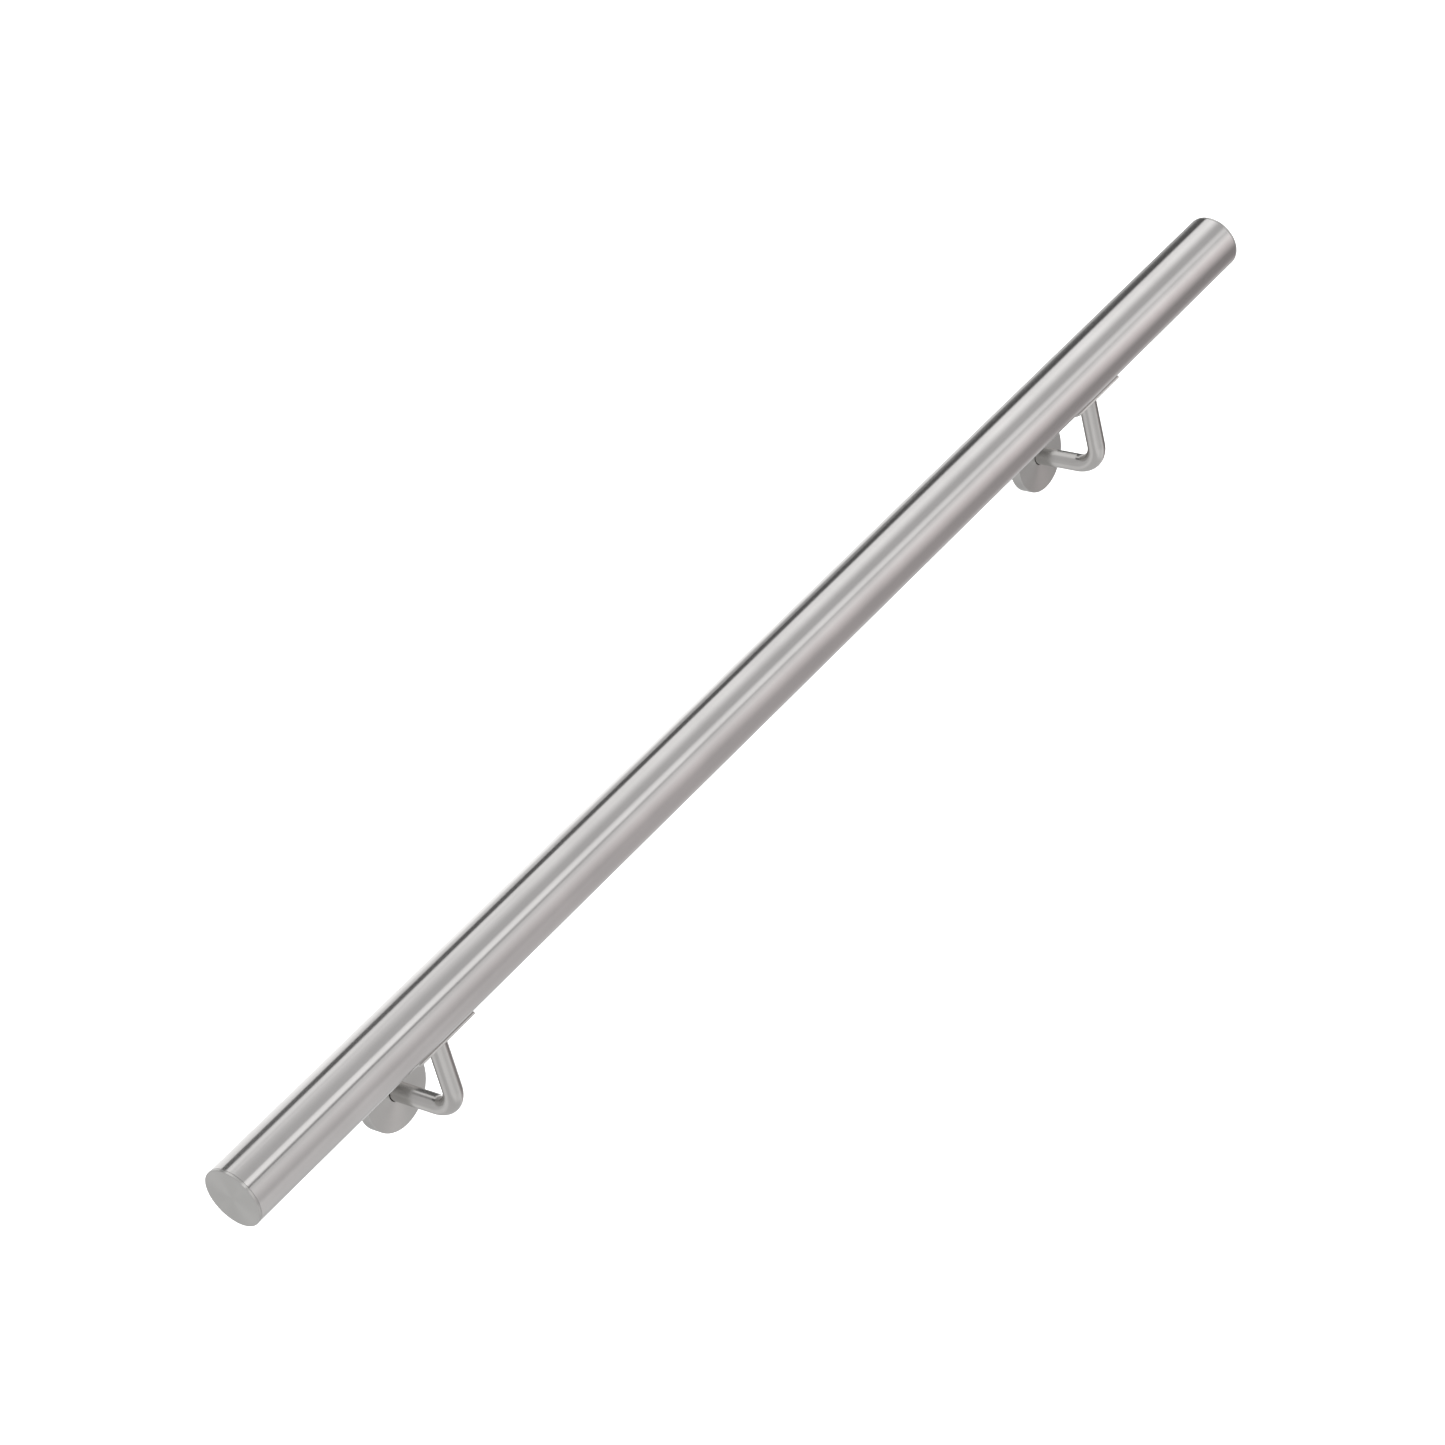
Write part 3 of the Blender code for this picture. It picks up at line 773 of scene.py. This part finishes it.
def make_floor():
    """A pale floor well below the rail, with its own light. No steel shows either of them."""
    shape = bmesh.new()
    bmesh.ops.create_grid(shape, x_segments=1, y_segments=1, size=FLOOR_HALF)
    bmesh.ops.translate(shape, vec=(0, 0, FLOOR_HEIGHT), verts=shape.verts)
    floor = as_object("floor", shape)
    material = bpy.data.materials.new("pale floor")
    material.use_nodes = True
    shader = material.node_tree.nodes["Principled BSDF"]
    shader.inputs["Base Color"].default_value = colour("#F4F4F4")
    shader.inputs["Roughness"].default_value = 0.9
    floor.data.materials.append(material)
    floor.visible_glossy = False
    sun = bpy.data.lights.new("floor light", "SUN")
    sun.energy = 4.0
    sun.angle = radians(120)
    lamp = bpy.data.objects.new("floor light", sun)
    lamp.visible_glossy = False
    bpy.context.scene.collection.objects.link(lamp)


def panel(tree, turn, reach, light, centre, half, soft, left, middle, right):
    """Adds a long light panel beside the rail, or a black flag if its strengths are below
    zero. centre and half are in degrees round the rail, from the front up over it."""
    away = maths(tree, "ABSOLUTE", maths(tree, "SUBTRACT", turn, centre))
    inputs = {"Value": away, "From Min": half + soft, "From Max": half - soft}
    shape = add(tree, "MapRange", {"interpolation_type": "SMOOTHSTEP"}, inputs)["Result"]
    near, far = reach
    strength = maths(tree, "MULTIPLY_ADD", near, middle - left, left)
    strength = maths(tree, "MULTIPLY_ADD", far, right - middle, strength)
    return maths(tree, "MULTIPLY_ADD", shape, strength, light)


def make_surroundings():
    """The studio round the rail: long soft panels with black flags between them. What a
    direction shows depends on its turn round the rail and on how far it leans along it."""
    world = bpy.data.worlds.new("studio")
    bpy.context.scene.world = world
    world.use_nodes = True
    tree = world.node_tree
    way = add(tree, "TexCoord", {}, {})["Generated"]
    split = add(tree, "SeparateXYZ", {}, {0: way})
    turn = maths(tree, "ARCTAN2", split[2], maths(tree, "MULTIPLY", split[1], -1.0))
    turn = maths(tree, "MULTIPLY_ADD", turn, 180 / pi, TURN_START)
    turn = maths(tree, "SUBTRACT", maths(tree, "FLOORED_MODULO", turn, 360.0), TURN_START)
    steps = ((-0.30, -0.20), (0.05, 0.15), (0.34, 0.45), (0.47, 0.56), (0.60, 0.70), (0.70, 0.76))
    behind, beside, left, near, far, end = [
        add(tree, "MapRange", {}, {"Value": split[0], "From Min": low, "From Max": high})[0]
        for low, high in steps
    ]
    reach = (near, far)
    past = (behind, beside)
    # Overhead and on the wall side: two panels and their black flags, which shine only
    # towards the right. Then a low screen that darkens to the right.
    light = panel(tree, turn, reach, 0.0, 190, 44, 22, 0.70, 0.80, -0.25)
    light = panel(tree, turn, reach, light, 126, 12, 6, 0.45, -0.10, -0.10)
    light = panel(tree, turn, reach, light, 119, 30, 18, 0.00, 0.70, 0.75)
    light = panel(tree, turn, reach, light, 141, 10, 2, -1.80, -1.80, 0.00)
    light = panel(tree, turn, reach, light, 149, 9, 2, 0.00, 0.00, -1.80)
    light = panel(tree, turn, reach, light, 162, 10, 7, 0.00, -0.70, -1.60)
    light = panel(tree, turn, reach, light, -61, 30, 14, 0.24, -0.13, -0.31)
    light = panel(tree, turn, reach, light, -38, 8, 12, 0.12, 0.00, 0.00)
    light = maths(tree, "MULTIPLY_ADD", light, left, ROOM_LIGHT)
    # Past the rail's left end: what the brackets' bent bars show.
    other = panel(tree, turn, past, 0.0, 110, 13, 4, -0.05, 0.50, 0.50)
    other = panel(tree, turn, past, other, 142, 15, 4, -0.05, -0.52, 0.30)
    other = panel(tree, turn, past, other, 213, 12, 8, 0.00, -0.28, -0.25)
    other = panel(tree, turn, past, other, 226, 14, 8, 0.16, 0.00, 0.00)
    other = panel(tree, turn, past, other, -50, 16, 10, 0.25, 0.15, 0.22)
    light = maths(tree, "MULTIPLY_ADD", other, maths(tree, "SUBTRACT", 1.0, left), light)
    light = panel(tree, turn, (end, end), light, -58, 18, 10, 0.00, -0.15, -0.15)
    # A wide front panel, and a strip lamp with a dark rim.
    light = panel(tree, turn, reach, light, 12, 16, 28, 0.26, 0.42, 0.75)
    light = panel(tree, turn, reach, light, 47, 8, 2, 0.70, 0.50, 0.20)
    light = panel(tree, turn, reach, light, 37, 3, 2, 0.00, 0.46, 0.05)
    light = panel(tree, turn, reach, light, 53, 3, 2, 0.00, -0.24, -0.12)
    light = panel(tree, turn, reach, light, 33, 3, 1, -0.60, 0.00, 0.00)
    light = maths(tree, "MAXIMUM", light, LEAST_LIGHT)
    # Low down and to the right the room's own light is a little warmer.
    low = add(tree, "MapRange", {}, {"Value": turn, "From Min": 30.0, "From Max": -10.0})[0]
    warmth = maths(tree, "MULTIPLY_ADD", maths(tree, "MULTIPLY", low, near), EXTRA_RED, 1.0)
    red = maths(tree, "MULTIPLY", light, warmth)
    tinted = add(tree, "CombineColor", {}, {0: red, 1: light, 2: light})[0]
    background = tree.nodes["Background"]
    tree.links.new(tinted, background.inputs["Color"])
    seen = add(tree, "LightPath", {}, {})["Is Camera Ray"]
    white = add(tree, "Background", {}, {"Color": (1, 1, 1, 1), "Strength": 1.0})[0]
    chosen = add(tree, "MixShader", {}, {0: seen, 1: background.outputs[0], 2: white})[0]
    tree.links.new(chosen, tree.nodes["World Output"].inputs["Surface"])


def make_camera():
    """Above, in front and to the left of the rail, turned so that the rail runs uphill."""
    data = bpy.data.cameras.new("camera")
    data.lens = 107.507
    data.sensor_width = 36.0
    camera = bpy.data.objects.new("camera", data)
    camera.location = (-1.57139, -1.56036, 1.49810)
    camera.rotation_euler = (radians(55.3188), radians(12.5609), radians(-53.7019))
    bpy.context.scene.collection.objects.link(camera)
    bpy.context.scene.camera = camera


make_floor()
make_surroundings()
make_camera()
bpy.context.scene.view_settings.view_transform = "Standard"
